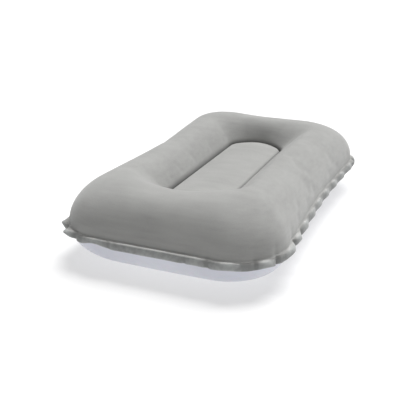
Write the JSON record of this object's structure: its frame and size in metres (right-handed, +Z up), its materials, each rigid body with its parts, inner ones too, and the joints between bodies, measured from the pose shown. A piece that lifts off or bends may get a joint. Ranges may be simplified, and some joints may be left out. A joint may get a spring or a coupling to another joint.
{
  "type": "inflatable camp pillow",
  "caption": "Small inflatable camp pillow: flocked top with a puffed rim round a sunken centre panel, vinyl underside, ruffled weld margin and a push-in valve in one end.",
  "frame": {"origin": "middle of the footprint, on the floor", "axes": "+X along the pillow's length towards the valve end, +Z up"},
  "size_m": [0.4096, 0.246, 0.0863],
  "materials": {
    "flocked_top": "matte",
    "weld_margin": "matte",
    "vinyl_bottom": "satin",
    "belt_film": "satin",
    "valve_vinyl": "satin"
  },
  "bodies": {
    "shell": {"bottom_panel": "vinyl_bottom", "edge_weld": "weld_margin", "valve_flange": "valve_vinyl"},
    "crown": {"top_panel": "flocked_top", "centre_belt": "belt_film"},
    "stem": {"valve_stem": "valve_vinyl", "plug_hinge": "valve_vinyl"},
    "flap": {"check_flap": "valve_vinyl"},
    "plug": {"valve_plug": "valve_vinyl"}
  },
  "joints": [
    {"name": "press_down", "type": "slide", "parent": "shell", "child": "crown", "axis": [0, 0, 1], "range_m": [-0.03, 0], "stiffness_N_per_m": 1500, "springref_m": 0.002, "deforming": ["top_panel", "centre_belt"]},
    {"name": "stem_pull", "type": "slide", "parent": "shell", "child": "stem", "axis": [0.7431, 0, -0.6691], "range_m": [0, 0.012]},
    {"name": "plug_swing", "type": "hinge", "parent": "stem", "child": "plug", "pos_m": [0.18916, 0.0074, 0.01481], "axis": [0.6691, 0, 0.7431], "range_deg": [0, 150]},
    {"name": "flap_lift", "type": "hinge", "parent": "stem", "child": "flap", "pos_m": [0.17144, -0.0048, 0.03077], "axis": [0.6691, 0, 0.7431], "range_deg": [0, 50], "stiffness_Nm_per_rad": 0.00005, "springref_deg": -17.19}
  ]
}
